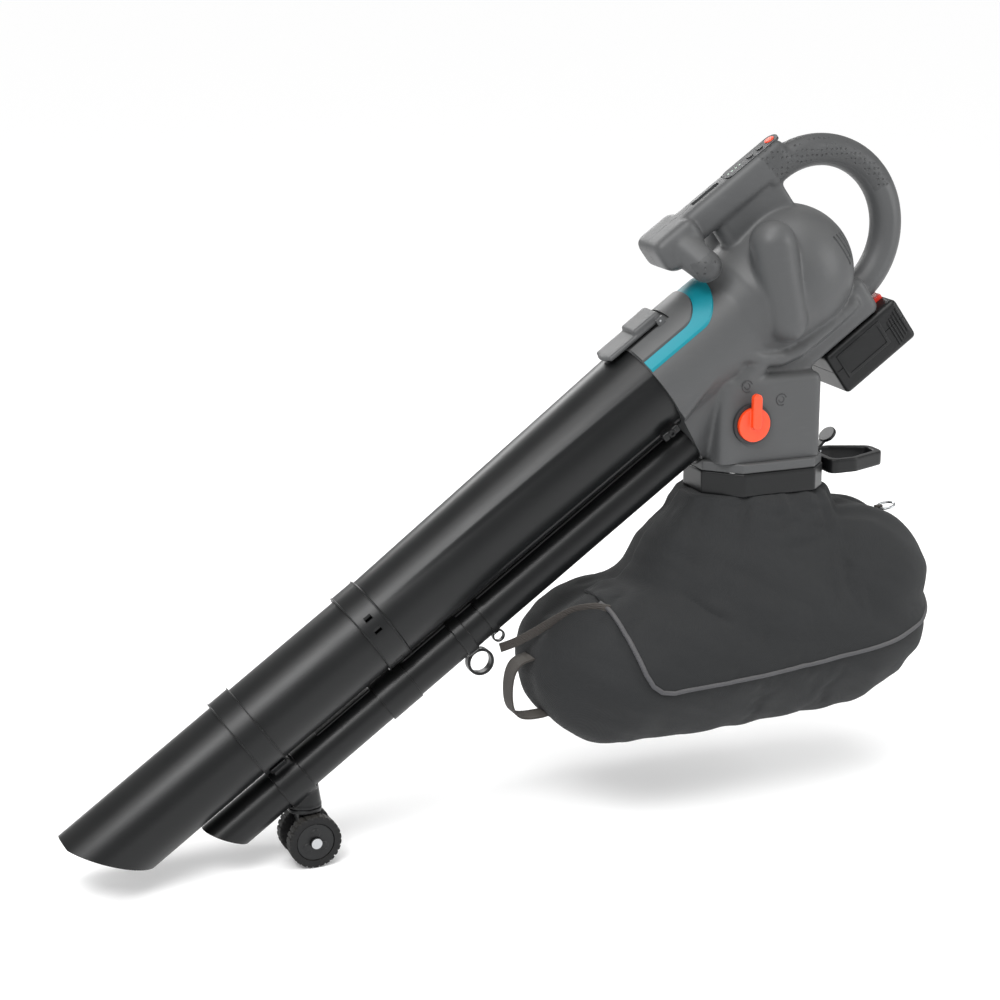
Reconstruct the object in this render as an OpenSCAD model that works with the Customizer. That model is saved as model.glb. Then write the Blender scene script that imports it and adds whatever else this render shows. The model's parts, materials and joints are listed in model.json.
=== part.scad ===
// Battery leaf vacuum mulcher, held at its working slope.
// Origin: on the ground, under the middle of the tool. +X runs from the nozzle to the rear handle.
// The tool is drawn in its own frame (x along the tube axis) and tilted; the bag hangs level.

/* [Tool] */
// Slope of the tubes above the ground, degrees
tilt = 35.5; // [33:0.5:38]
// Mouth of the suction tube in front of the origin
mouth_x = 537; // [530:1:545]
// Height of the centre of the suction mouth
mouth_z = 33; // [33:1:40]

/* [Suction tubes] */
// Outer radius of the nozzle tube
nozzle_r = 50; // [48:0.5:51]
// Outer radius of the upper tube where it meets the housing
upper_r = 60; // [58:0.5:60]
// Wall of every tube
tube_wall = 2.4; // [2:0.1:3]
// Length from the mouth to the housing seam
seam_x = 873; // [860:1:880]
// Rise of the upper tube's centre line at the seam
upper_rise = 6; // [4:0.5:7]

/* [Blow tube] */
// Outer radius of the blow tube
blow_r = 26; // [24:0.5:27]
// Depth of its centre line below the suction mouth axis
blow_drop = 84; // [83:0.5:88]
// Start of the blow tube behind the suction mouth
blow_x = 128; // [110:1:140]

/* [Motor head] */
// Radius of the motor dome
dome_r = 82; // [80:1:84]
// Height of the motor axis above the suction mouth axis
motor_z = 4; // [3:0.5:5]
// Centre of the dome along the tool
dome_x = 1098; // [1090:1:1104]
// Radius of the loop handle's centre line
loop_r = 98; // [95:1:100]
// Radius of the loop handle's grip
grip_r = 20; // [18:0.5:21]

/* [Port and bag] */
// Left end of the bag port
port_x0 = 234; // [232:1:238]
// Right end of the bag port
port_x1 = 390; // [386:1:393]
// Half width of the bag port
port_y = 62; // [58:1:64]
// Level of the joint between port flange and bag collar
port_z = 439; // [436:1:442]

/* [Wheels] */
// Radius of the wheels
wheel_r = 32.5; // [30:0.5:33]
// Distance of the axle behind the origin's negative side
wheel_x = -268; // [-270:1:-264]

/* [Hidden] */
$fn = 48;
eps = 0.2;

// Stations along the tool
lower_collar_x = 226;
lower_collar_len = 30;
upper_collar_x = 415;
upper_collar_len = 33;
blow_joint_x = 428;
socket_depth = 30;
fan_x0 = seam_x + socket_depth + 2;
fan_x1 = 962;
mount_x = 972;
can_x0 = mount_x + 6.3;
can_x1 = can_x0 + 66;
head_r = 64;
belly_x = 1030;
belly_r = 74;
chamber_r = 60;
motor_room_r = 50;
shaft_r = 4;
bearing_r = 11;
bearing_len = 7;
can_r = 30;
impeller_r = 56;
bean_top = [1080, 72];
bean_y = 62;
bean_r0 = 28;
bean_r1 = 25;
bean_lean = 22;
bean_len = 97;
bean_foot = bean_top - bean_len * [sin(bean_lean), cos(bean_lean)];
loop_x = 1157;
loop_z = 20;
bar_z = 130;
bar_w = 40;
bar_x0 = 1000;
wing_x = 1002;
wing_r = 19.3;
bar_x1 = 1172;
dock_z = -103;
dock_x0 = 965;
dock_x1 = 1163;
dock_y = 38;
battery_x0 = 1068;
battery_len = 116;
battery_h = 60;
battery_y = 37.5;
rail_neck_y = 17;
rail_head_y = 22;
latch_x = 924;
latch_z = 72.5;
knob_x = 284;
knob_z = 499.5;
knob_r = 21;
knob_face_y = 58;
duct_x0 = 243;
duct_x1 = 382;
duct_y = 54;
duct_top = 556;
duct_wall = 4;
flange_h = 12;
collar_h = 29;
stem_x = -273;
swivel_r = 20.5;
swivel_z = 71;
fork_y = 11;
thumb_x = port_x1 + 14;
thumb_z = port_z + 5.6;
bag_half = 128;
hook_x = 499;
hook_z = 358;
strap_from = [-20, 0, 237];
strap_to = [71, -42, 318];
strap_w = 12;
wheel_w = 16;
wheel_gap = 0.5;
axle_r = 4;
button_xs = [1135, 1151, 1167];
panel_x0 = 1093;
panel_x1 = 1178;
panel_z = bar_z + bar_w / 2;

// The tool's own frame
module tool() translate([-mouth_x, 0, mouth_z]) rotate([0, -tilt, 0]) children();

// A round bar along the tool
module along(x0, x1, r, z = 0, y = 0)
  translate([x0, y, z]) rotate([0, 90, 0]) cylinder(h = x1 - x0, r = r);

// A cone along the tool
module cone_along(x0, x1, r0, r1, z = 0)
  translate([x0, 0, z]) rotate([0, 90, 0]) cylinder(h = x1 - x0, r1 = r0, r2 = r1);

// A round bar across the tool
module across(x, z, r, y0, y1)
  translate([x, y1, z]) rotate([90, 0, 0]) cylinder(h = y1 - y0, r = r);

// A block given by its ends
module block(x, y, z) translate([x[0], y[0], z[0]]) cube([x[1] - x[0], y[1] - y[0], z[1] - z[0]]);

// A rectangle with round corners, centred
module round_rect(w, h, r) {
  square([w - 2 * r, h], center = true);
  square([w, h - 2 * r], center = true);
  for (i = [-1, 1], j = [-1, 1])
    translate([i * (w / 2 - r), j * (h / 2 - r)]) circle(r);
}

// A rounded bar along the tool, given its width (y) and height (z)
module bar_along(x0, x1, w, h, r, z)
  translate([x0, 0, z]) rotate([90, 0, 90]) linear_extrude(x1 - x0) round_rect(w, h, r);

// A rounded block standing level, given by its ends
module level_block(x, y, z, r)
  translate([(x[0] + x[1]) / 2, (y[0] + y[1]) / 2, z[0]])
    linear_extrude(z[1] - z[0]) round_rect(x[1] - x[0], y[1] - y[0], r);

// ---------- housing ----------

module head_revolve(grow = 0) {
  arc = [for (i = [0 : 9]) let (a = 106 - i * 106 / 9)
    [(dome_r + grow) * sin(a), dome_x + (dome_r + grow) * cos(a)]];
  translate([0, 0, motor_z]) rotate([0, 90, 0]) rotate_extrude($fn = 72)
    polygon(concat([[0, seam_x], [head_r + grow, seam_x], [head_r + grow, 1004],
      [belly_r + grow, belly_x]], arc));
}

module loop_grip(r)
  translate([loop_x, 0, loop_z]) rotate([90, 0, 0]) rotate([0, 0, -97])
    rotate_extrude(angle = 197, $fn = 72) translate([loop_r, 0]) circle(r, $fn = 36);

module front_grip() {
  bar_along(966, 1022, 60, 40, 12, bar_z + 1);
  for (s = [-1, 1]) {
    translate([wing_x, s * 18, 130]) rotate([-s * 143, 0, 0]) cylinder(h = 42, r = wing_r - 0.4);
    translate([wing_x, s * 18, 130]) sphere(wing_r);
    translate([wing_x, s * 43.3, 96.5]) sphere(wing_r);
  }
}

module duct_outer() {
  level_block([duct_x0, duct_x1], [-duct_y, duct_y], [port_z + flange_h, duct_top], 14);
}

module tool_outer() {
  head_revolve();
  along(seam_x, 950, blow_r + 4, -blow_drop);
  translate([seam_x, 0, 0]) rotate([90, 0, 90]) linear_extrude(77)
    polygon([[-60, -12], [60, -12], [29, -92], [-29, -92]]);
  bar_along(dock_x0, dock_x1, 2 * dock_y, 52, 10, dock_z + 26);
  loop_grip(grip_r);
  bar_along(bar_x0, bar_x1, bar_w, bar_w, 14, bar_z);
  block([1050, 1148], [-15, 15], [60, 120]);
  front_grip();
}

module battery_groove(clear) {
  block([battery_x0 - 30, dock_x1 + 30], [-rail_neck_y - clear, rail_neck_y + clear],
    [dock_z - 1, dock_z + 5]);
  block([battery_x0 - 30, dock_x1 + 30], [-rail_head_y - clear, rail_head_y + clear],
    [dock_z + 4, dock_z + 8 + clear]);
}

module tool_inner() {
  translate([0, 0, upper_rise]) along(seam_x - 1, fan_x0 - 2, upper_r - 2.6);
  along(fan_x0 - 3, fan_x1, chamber_r, motor_z);
  along(fan_x1 - 1, 1120, motor_room_r, motor_z);
  along(1119, 1150, 40, motor_z);
  along(seam_x - 1, 930, blow_r - 3.8, -blow_drop);
  bar_along(bar_x0 + 20, bar_x1 - 20, 28, 26, 8, bar_z);
  loop_grip(grip_r - 4);
  battery_groove(0.4);
  block([1036, battery_x0 - 29], [-24, 24], [dock_z + 3, dock_z + 18]);
  block([dock_x0 + 10, 1030], [-30, 30], [dock_z + 8, -50]);
  for (i = [0 : 3])
    translate([dome_x + 52 + i * 7, -90, motor_z - 20 + i * 3]) rotate([0, -30, 0]) cube([3, 180, 34]);
  translate([panel_x0, 0, panel_z - 3]) linear_extrude(6)
    translate([(panel_x1 - panel_x0) / 2, 0]) round_rect(panel_x1 - panel_x0, 24, 11);
  for (x = button_xs) translate([x, 0, panel_z - 12]) cylinder(h = 12, r = 5.5);
  translate([1063, 0, panel_z - 6]) linear_extrude(8) round_rect(42, 8, 3.9);
}

module fan_outlet() {
  level_block([duct_x0 + duct_wall, duct_x1 - duct_wall], [-duct_y + duct_wall, duct_y - duct_wall],
    [port_z - 1, 538], 10);
}

module housing() {
  difference() {
    union() {
      tool() tool_outer();
      duct_outer();
    }
    tool() tool_inner();
    fan_outlet();
    across(knob_x, knob_z, 6, -duct_y - 5, duct_y - 10);
    across(knob_x, knob_z, shaft_r + 0.05, 40, duct_y - 1.6);
    across(knob_x, knob_z, knob_r + 4.3, -knob_face_y - 10, -duct_y + 1);
    tool() housing_screws_at(1.4);
  }
}

module half(side) intersection() {
  housing();
  translate([-700, side > 0 ? 0 : -200, 0]) cube([1400, 200, 1100]);
}

module housing_left() color("dimgray") half(1);
module housing_right() color("dimgray") half(-1);

SCREWS = [[1002, 138], [1060, 90], [1120, 108], [1268 - 12, 20], [1170, -84], [990, -70]];
module housing_screws_at(r) {
  for (p = SCREWS) across(p[0], p[1], r, -11, 13);
}

module housing_screws() color("silver") tool() {
  for (p = SCREWS) across(p[0], p[1], 1.4, -10, 12.5);
}

module control_panel() color("#3a3c3e") tool() difference() {
  translate([(panel_x0 + panel_x1) / 2, 0, panel_z - 2.8]) linear_extrude(3.2)
    round_rect(panel_x1 - panel_x0 - 0.6, 23.4, 11);
  for (x = button_xs) translate([x, 0, panel_z - 5]) cylinder(h = 10, r = 4.8);
  for (i = [0 : 3]) translate([1101 + i * 6, 0, panel_z - 5]) cylinder(h = 10, r = 1.3);
}

module charge_lights() color("#c8ffd0") tool()
  for (i = [0 : 3]) translate([1101 + i * 6, 0, panel_z - 2.8]) cylinder(h = 3.1, r = 1.25);

module button(x, h) tool() {
  translate([x, 0, panel_z - 3.6]) cylinder(h = 3.6 + h, r = 4.5);
  translate([x, 0, panel_z - 5.4]) cylinder(h = 1.9, r = 5.1);
}
module power_button() color("#d8481e") button(button_xs[2], 1.6);
module plus_button() color("#2a2b2c") button(button_xs[1], 1.4);
module minus_button() color("#2a2b2c") button(button_xs[0], 1.4);

// A shell lying on the head's round front, r_in to r_out
module head_shell(r_in, r_out, x0, x1) translate([0, 0, motor_z]) difference() {
  along(x0, x1, r_out);
  along(x0 - 1, x1 + 1, r_in);
}

// A plan with a rounded rear end, as an upright prism over the head
module cover_plan(w, x_end, r) translate([0, 0, 10]) linear_extrude(100) {
  translate([seam_x - 10, -w]) square([x_end - r - seam_x + 10, 2 * w]);
  translate([seam_x - 10, -w + r]) square([x_end - seam_x + 10, 2 * (w - r)]);
  for (s = [-1, 1]) translate([x_end - r, s * (w - r)]) circle(r);
}

module socket_cover() color("#4a4c4e") tool() difference() {
  union() {
    difference() {
      intersection() {
        head_shell(head_r + eps, head_r + 4.5, seam_x + 1, 990);
        cover_plan(44, 972, 34);
      }
      block([seam_x - 5, latch_x + 12], [-24, 24], [60, 90]);
    }
    for (s = [-1, 1]) intersection() {
      translate([0, s * 24.3, 0]) block([latch_x - 5, latch_x + 5], [-2.2, 2.2], [60, latch_z + 4]);
      head_shell(head_r + eps, head_r + 30, latch_x - 6, latch_x + 6);
    }
  }
  across(latch_x, latch_z, 1.5, -30, 30);
}

module trim_band() color("#00b4c8") tool() difference() {
  intersection() {
    head_shell(head_r + eps, head_r + 2.4, seam_x + 1, 1002);
    cover_plan(53, 1000, 44);
  }
  cover_plan(44.4, 972.4, 34);
}

// The long bulge on each side of the head
module bean() {
  translate([bean_top[0], bean_y, bean_top[1]]) sphere(bean_r0);
  translate([bean_top[0], bean_y, bean_top[1]]) rotate([0, 180 + bean_lean, 0])
    cylinder(h = bean_len, r1 = bean_r0 - 0.5, r2 = bean_r1 - 0.5);
  translate([bean_foot[0], bean_y, bean_foot[1]]) sphere(bean_r1);
}

module side_cover(side) tool() difference() {
  if (side > 0) bean(); else mirror([0, 1, 0]) bean();
  head_revolve(0.25);
  block([1030, 1160], [-15.3, 15.3], [50, 122]);
  bar_along(bar_x0, bar_x1, bar_w + 0.6, bar_w + 0.6, 14, bar_z);
}
module side_cover_left() color("#4b4d4f") side_cover(1);
module side_cover_right() color("#4b4d4f") side_cover(-1);

// ---------- port ----------

module port_plan(grow) {
  w = port_x1 - port_x0 + 2 * grow;
  translate([(port_x0 + port_x1) / 2, 0]) intersection() {
    round_rect(w, 2 * (port_y + grow), 12);
    translate([8, 0]) rotate(45) square(2 * (port_y + grow) + 32, center = true);
  }
}

// The way down through flange and collar, with a wall left all round
module port_hole(z0, z1) intersection() {
  level_block([duct_x0 + duct_wall, duct_x1 - duct_wall], [-duct_y + duct_wall, duct_y - duct_wall],
    [z0, z1], 10);
  translate([0, 0, z0 - 1]) linear_extrude(z1 - z0 + 2) port_plan(-duct_wall);
}

module port_flange() color("#5e6062") difference() {
  translate([0, 0, port_z + eps]) linear_extrude(flange_h - 2 * eps) port_plan(0);
  port_hole(port_z - 1, port_z + flange_h + 1);
  tool() along(seam_x - 60, 960, blow_r + 4.3, -blow_drop);
}

// ---------- suction tubes ----------

module upper_tube() color("#26282a") tool() difference() {
  union() {
    translate([upper_collar_x + 8, 0, 1]) rotate([0, 90 - 0.6, 0])
      cylinder(h = seam_x - upper_collar_x - 8.9, r1 = nozzle_r + 2, r2 = upper_r);
    along(upper_collar_x, upper_collar_x + upper_collar_len, nozzle_r + 4.5, 1);
    along(seam_x - 1, seam_x + socket_depth - 1, upper_r - 2.8, upper_rise);
    block([850, 858], [-8, 8], [60, latch_z - 4]);
  }
  translate([upper_collar_x + 7, 0, 1]) rotate([0, 90 - 0.6, 0])
    cylinder(h = seam_x - upper_collar_x + 20, r1 = nozzle_r - 0.4, r2 = upper_r - 5);
  along(upper_collar_x - 1, upper_collar_x + 8, nozzle_r + 2, 1);
  for (s = [-1, 1], k = [0, 1]) rotate([s * (38 + 44 * k), 0, 0]) 
    block([upper_collar_x + 7, upper_collar_x + 15], [-6, 6], [nozzle_r + 3, nozzle_r + 9]);
}

module middle_tube() color("#26282a") tool() difference() {
  along(lower_collar_x + 12, upper_collar_x + 7.8, nozzle_r + 1.2, 0.3);
  along(lower_collar_x + 11, upper_collar_x + 9, nozzle_r + 1.2 - tube_wall, 0.3);
}

module nozzle_tube() color("#26282a") tool() difference() {
  union() {
    along(0, lower_collar_x + 2, nozzle_r);
    along(lower_collar_x, lower_collar_x + lower_collar_len, nozzle_r + 4);
  }
  along(-1, lower_collar_x + 2, nozzle_r - tube_wall);
  along(lower_collar_x + 1, lower_collar_x + lower_collar_len + 1, nozzle_r + 1.7);
  translate([0, -80, nozzle_r - 6]) rotate([0, 56, 0]) translate([0, 0, -60]) cube([160, 160, 60]);
}

// ---------- blow tube ----------

module blow_tube_upper() color("#1f2123") tool() difference() {
  union() {
    along(blow_joint_x, seam_x - 0.5, blow_r, -blow_drop);
    along(seam_x - 1, seam_x + 24, blow_r - 4.2, -blow_drop);
  }
  along(blow_joint_x - 1, seam_x + 30, blow_r - 6, -blow_drop);
}

module blow_tube_lower() color("#1f2123") tool() difference() {
  union() {
    along(blow_x, blow_joint_x + 2, blow_r - 1, -blow_drop);
    along(blow_joint_x - 44, blow_joint_x - eps, blow_r + 1.5, -blow_drop);
  }
  along(blow_x - 1, blow_joint_x + 3, blow_r - 1 - tube_wall, -blow_drop);
  along(blow_joint_x - eps, blow_joint_x + 5, blow_r + 5, -blow_drop);
  translate([blow_x, -60, -blow_drop + blow_r]) rotate([0, 58, 0]) translate([-20, 0, -60])
    cube([120, 120, 60]);
}

// The bridge that joins both tubes near the nozzle, with the socket of the swivel castor
module tube_bridge() color("#2b2d2f") difference() {
  union() {
    tool() {
      along(226, 262, blow_r + 3, -blow_drop);
      block([234, 258], [-16, 16], [-66, -40]);
      along(232, 254, nozzle_r + 7, 0);
    }
    translate([stem_x, 0, swivel_z + 4]) cylinder(h = 30, r1 = 20, r2 = 16);
    translate([stem_x, 0, swivel_z + 0.4]) cylinder(h = 3.7, r = swivel_r);
  }
  tool() {
    along(180, 290, blow_r - 1 + 0.15, -blow_drop);
    along(225, 263, nozzle_r + 4.15, 0);
    block([200, 300], [-70, 70], [-38, 80]);
  }
  translate([stem_x, 0, swivel_z - 1]) cylinder(h = 10.5, r = 5.05);
}

module eye_ring(x, z, r, wire, w) tool() difference() {
  union() {
    across(x, z - r, r, -w / 2, w / 2);
    block([x - 5, x + 5], [-w / 2, w / 2], [z - 6, z + 4]);
  }
  across(x, z - r, r - wire, -w, w);
}

module shoulder_strap_eye() color("#1d1e20") difference() {
  union() {
    eye_ring(508, -112, 17, 3.5, 12);
    tool() along(500, 516, blow_r + 2.5, -blow_drop);
  }
  tool() along(499, 517, blow_r + 0.15, -blow_drop);
}

module bag_strap_eye() color("#1d1e20") difference() {
  union() {
    eye_ring(545, -111, 8, 2.2, 5);
    tool() along(541, 549, blow_r + 2.2, -blow_drop);
  }
  tool() along(540, 550, blow_r + 0.15, -blow_drop);
}

// ---------- wheels ----------

module wheel_fork() color("#1f2123") difference() {
  union() {
    translate([stem_x, 0, 2 * wheel_r + 1]) cylinder(h = swivel_z - 2 * wheel_r - 1, r = swivel_r);
    translate([stem_x, 0, swivel_z - 1]) cylinder(h = 10, r = 5);
    across(wheel_x, wheel_r, 14, -fork_y, fork_y);
    translate([wheel_x - 16, -fork_y, wheel_r]) cube([28, 2 * fork_y, swivel_z - wheel_r - 3]);
  }
  across(wheel_x, wheel_r, axle_r, -fork_y - 1, fork_y + 1);
}

module wheel_axle() color("silver") {
  across(wheel_x, wheel_r, axle_r, -fork_y - wheel_w - 1.5, fork_y + wheel_w + 1.5);
  for (s = [-1, 1]) translate([0, s * (fork_y + wheel_w + 3), 0])
    across(wheel_x, wheel_r, 6.5, -1.5, 1.5);
}

module wheel(side) difference() {
  union() {
    across(wheel_x, wheel_r, wheel_r - 1.2, side * (fork_y + wheel_w / 2 + wheel_gap) - wheel_w / 2 + wheel_gap,
      side * (fork_y + wheel_w / 2 + wheel_gap) + wheel_w / 2 - wheel_gap);
    across(wheel_x, wheel_r, wheel_r, side * (fork_y + wheel_w / 2 + wheel_gap) - wheel_w / 2 + 3,
      side * (fork_y + wheel_w / 2 + wheel_gap) + wheel_w / 2 - 3);
  }
  across(wheel_x, wheel_r, axle_r + 0.05, -40, 40);
  across(wheel_x, wheel_r, 24, side * 24.5 - 2.5, side * 24.5 + 4);
}
module wheel_left() color("#151617") wheel(1);
module wheel_right() color("#151617") wheel(-1);

// ---------- motor and fan ----------

module motor_mount() color("#6b6d6f") tool() difference() {
  union() {
    along(mount_x, mount_x + 6, motor_room_r - eps, motor_z);
    along(mount_x + 5, mount_x + 22, can_r + 3, motor_z);
  }
  along(mount_x - 1, mount_x + 7, 13, motor_z);
  along(mount_x + 6, mount_x + 23, can_r + eps, motor_z);
}

module motor_can() color("#8a8d90") tool() difference() {
  along(can_x0, can_x1, can_r, motor_z);
  along(can_x0 + bearing_len, can_x1 - bearing_len, can_r - 2, motor_z);
  along(can_x0 - 1, can_x1 + 1, bearing_r, motor_z);
}

module motor_stator() color("#b06a2c") tool() difference() {
  along(can_x0 + 12, can_x1 - 12, can_r - 2, motor_z);
  along(can_x0 + 11, can_x1 - 11, 18.4, motor_z);
}

module bearing(x) tool() difference() {
  along(x, x + bearing_len, bearing_r, motor_z);
  along(x - 1, x + bearing_len + 1, shaft_r + 0.03, motor_z);
}
module front_bearing() color("silver") bearing(can_x0);
module rear_bearing() color("silver") bearing(can_x1 - bearing_len);

module motor_shaft() color("gainsboro") tool() along(906, can_x1 + 4, shaft_r, motor_z);

module rotor_core() color("#55585a") tool() difference() {
  along(can_x0 + 14, can_x1 - 14, 17.6, motor_z);
  along(can_x0 + 13, can_x1 - 13, shaft_r, motor_z);
}

module impeller() color("#9a9da0") tool() difference() {
  union() {
    along(918, 950, 14, motor_z);
    along(946, 950, impeller_r, motor_z);
    for (i = [0 : 9]) translate([0, 0, motor_z]) rotate([i * 36, 0, 0])
      block([920, 947], [-1.2, 1.2], [10, impeller_r - 1]);
  }
  along(917, 951, shaft_r, motor_z);
}

module impeller_nut() color("silver") tool() difference() {
  translate([910, 0, motor_z]) rotate([0, 90, 0]) cylinder(h = 7.8, r = 8, $fn = 6);
  along(909, 919, shaft_r, motor_z);
}

module control_board() color("#1d6b3a") tool() {
  block([1090, 1145], [-12, 12], [bar_z - 5, bar_z - 3.4]);
  block([1096, 1110], [-6, 6], [bar_z - 3.5, bar_z + 1]);
  block([1120, 1128], [-8, 8], [bar_z - 3.5, bar_z]);
}

module terminal_block() color("#2b2d2f") tool() {
  block([1037.5, 1062], [-21, 21], [dock_z + 4.5, dock_z + 8]);
  block([1037.5, battery_x0 - 30], [-21, 21], [dock_z + 7.9, dock_z + 16]);
  for (y = [-12, -4, 4, 12])
    block([1061, battery_x0 + 8], [y - 0.4, y + 0.4], [dock_z + 4.5, dock_z + 8]);
}

// ---------- mode valve ----------

module knob_ring() color("#3f4244") difference() {
  across(knob_x, knob_z, knob_r + 4.1, -knob_face_y, -duct_y + 1 - eps);
  across(knob_x, knob_z, 6, -knob_face_y - 1, -duct_y + 3);
  across(knob_x, knob_z, knob_r + 0.4, -knob_face_y - 1, -knob_face_y + 1.5);
}

module mode_knob() color("#f0501e") {
  difference() {
    union() {
      across(knob_x, knob_z, knob_r, -knob_face_y - 5, -knob_face_y + 1.1);
      translate([knob_x, -knob_face_y - 4.9, knob_z + 17]) rotate([90, 0, 0])
        linear_extrude(7) round_rect(12, 44, 5.9);
    }
    across(knob_x, knob_z, shaft_r, -knob_face_y - 3, 0);
  }
}

module mode_flap() color("#54575a") {
  across(knob_x, knob_z, shaft_r, -knob_face_y - 3, 52);
  translate([knob_x, 0, knob_z]) rotate([0, -206, 0]) block([2, 33], [-46, 46], [-1.5, 1.5]);
}

// ---------- tube latch ----------

module tube_latch() color("#333537") tool() difference() {
  union() {
    block([845, latch_x - 6], [-21, 21], [latch_z - 3.6, latch_z + 4]);
    block([latch_x - 7, latch_x + 6], [-21, 21], [latch_z - 0.2, latch_z + 4]);
    across(latch_x, latch_z, 4, -21, 21);
  }
  across(latch_x, latch_z, 1.55, -22, 22);
}

module latch_pin() color("silver") tool() across(latch_x, latch_z, 1.5, -26, 26);

// ---------- battery ----------

module battery_base() color("#17181a") tool() difference() {
  bar_along(battery_x0, battery_x0 + battery_len, 2 * battery_y, 34, 9, dock_z - 1 - battery_h + 17);
  block([battery_x0 + 3, battery_x0 + battery_len - 3], [-battery_y + 3, battery_y - 3],
    [dock_z - battery_h + 2, dock_z - battery_h + 50]);
}

module battery_top() color("#1c1d1f") tool() difference() {
  union() {
    block([battery_x0, battery_x0 + battery_len], [-battery_y, battery_y],
      [dock_z - battery_h + 33 + eps, dock_z - 1]);
    block([battery_x0 + 4, battery_x0 + 88], [-rail_neck_y, rail_neck_y], [dock_z - 1.1, dock_z + 5]);
    block([battery_x0 + 4, battery_x0 + 88], [-rail_head_y, rail_head_y],
      [dock_z + 4.5, dock_z + 7.8]);
  }
  block([battery_x0 + 3, battery_x0 + battery_len - 3], [-battery_y + 3, battery_y - 3],
    [dock_z - battery_h, dock_z - 4]);
  for (y = [-12, -4, 4, 12])
    block([battery_x0 - 1, battery_x0 + 12], [y - 1, y + 1], [dock_z + 2, dock_z + 9]);
  block([battery_x0 + 95.6, battery_x0 + 112.4], [-12.4, 12.4], [dock_z - 5, dock_z + 9]);
}

module battery_cells() color("#3f6fb5") tool()
  for (i = [0 : 4], k = [0, 1])
    across(battery_x0 + 15 + i * 21.5, dock_z - battery_h + 12.5 + k * 20, 9.2, -32.5, 32.5);

module battery_release() color("#c8281e") tool() {
  block([battery_x0 + 96, battery_x0 + 112], [-12, 12], [dock_z - 6, dock_z + 4]);
  block([battery_x0 + 94, battery_x0 + 113], [-14, 14], [dock_z - 8, dock_z - 4.4]);
}

// ---------- bag ----------

module bag_collar() color("#141516") difference() {
  union() {
    translate([0, 0, port_z - collar_h]) linear_extrude(collar_h - eps) port_plan(1.5);
    level_block([port_x1 - 4, port_x1 + 16], [-16, 16], [port_z - 19, port_z - 1], 4);
    for (s = [-1, 1]) translate([0, s * 11.3, 0])
      block([thumb_x - 5, thumb_x + 1.9], [-2, 2], [port_z - 3, thumb_z + 4]);
  }
  across(thumb_x, thumb_z, 1.6, -14, 14);
  port_hole(port_z - collar_h - 1, port_z + 1);
}

module bag_ring_handle() color("#141516") difference() {
  hull() {
    level_block([port_x1 + 16.2, port_x1 + 60], [-37, 37], [port_z - 19, port_z - 1], 10);
    level_block([port_x1 + 60, port_x1 + 102], [-20, 20], [port_z - 19, port_z - 1], 10);
  }
  hull() {
    level_block([port_x1 + 25, port_x1 + 58], [-28, 28], [port_z - 25, port_z + 5], 8);
    level_block([port_x1 + 58, port_x1 + 93], [-12, 12], [port_z - 25, port_z + 5], 8);
  }
}

module bag_thumb_latch() color("#26282a") translate([thumb_x, 0, thumb_z]) difference() {
  union() {
    across(0, 0, 3.6, -9, 9);
    rotate([0, -45, 0]) {
      block([0, 18], [-6, 6], [-1.6, 1.6]);
      translate([24, 0, -1.6]) linear_extrude(4) scale([0.8, 1]) circle(14);
    }
    block([-13, 0], [-8, 8], [-0.5, 3]);
    block([-13, -4], [-8, 8], [2.9, 10.4]);
  }
  across(0, 0, 1.65, -20, 20);
}

module thumb_pin() color("silver") translate([thumb_x, 0, thumb_z]) {
  across(0, 0, 1.6, -13, 13);
}

// The bag's soft body: round lobes joined into one closed form
module bag_lobe(x, z, r)
  for (s = [-1, 1]) translate([x, s * (bag_half - r), z]) sphere(r, $fn = 28);

module bag_body() color("#2d2f31") hull() {
  bag_lobe(115, 205, 100);
  bag_lobe(463, 236, 104);
  bag_lobe(451, 275, 86);
  translate([(port_x0 + port_x1) / 2 + 12, 0, 340])
    cylinder(h = port_z - collar_h - 340.4, r = 74);
}

module bag_flap() color("#343638") translate([0, -bag_half - 1, 0]) rotate([90, 0, 0])
  linear_extrude(3) polygon([[81, 318], [110, 252], [129, 212], [156, 196], [243, 199],
    [359, 207], [478, 226], [481, 318]]);

module bag_web_loop() color("#3d3f41") difference() {
  block([-11, 14.4], [-14, 14], [150, 212]);
  block([-7, 19], [-15, 15], [154, 208]);
}

// A metal ring on a short fabric tab at the bag's rear shoulder
module ring_tab() color("#3d3f41") difference() {
  block([hook_x - 5, hook_x + 5], [-2.5, 2.5], [345, hook_z + 4]);
  across(hook_x, hook_z, 2.2, -7, 7);
  bag_body();
}
module bag_hook_ring() color("silver") translate([hook_x, 0, hook_z]) rotate([0, -12, 0])
  translate([11, 0, 0]) rotate_extrude() translate([11, 0]) circle(1.6, $fn = 20);

// Flat webbing from the tube's eye to the bag's front shoulder
module bag_strap() color("#4a463f") hull() {
  translate(strap_from) cube([2, 5, strap_w], center = true);
  translate(strap_to) cube([2, 5, strap_w], center = true);
}

housing_left();
housing_right();
control_panel();
charge_lights();
trim_band();
socket_cover();
side_cover_left();
side_cover_right();
port_flange();
upper_tube();
middle_tube();
nozzle_tube();
blow_tube_upper();
blow_tube_lower();
tube_bridge();
shoulder_strap_eye();
bag_strap_eye();
wheel_fork();
wheel_axle();
wheel_left();
wheel_right();
motor_can();
motor_stator();
motor_mount();
front_bearing();
rear_bearing();
motor_shaft();
rotor_core();
impeller();
impeller_nut();
control_board();
terminal_block();
housing_screws();
power_button();
plus_button();
minus_button();
tube_latch();
latch_pin();
mode_knob();
mode_flap();
knob_ring();
battery_base();
battery_top();
battery_cells();
battery_release();
bag_collar();
bag_ring_handle();
bag_thumb_latch();
thumb_pin();
bag_body();
bag_flap();
bag_web_loop();
ring_tab();
bag_hook_ring();
bag_strap();
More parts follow.
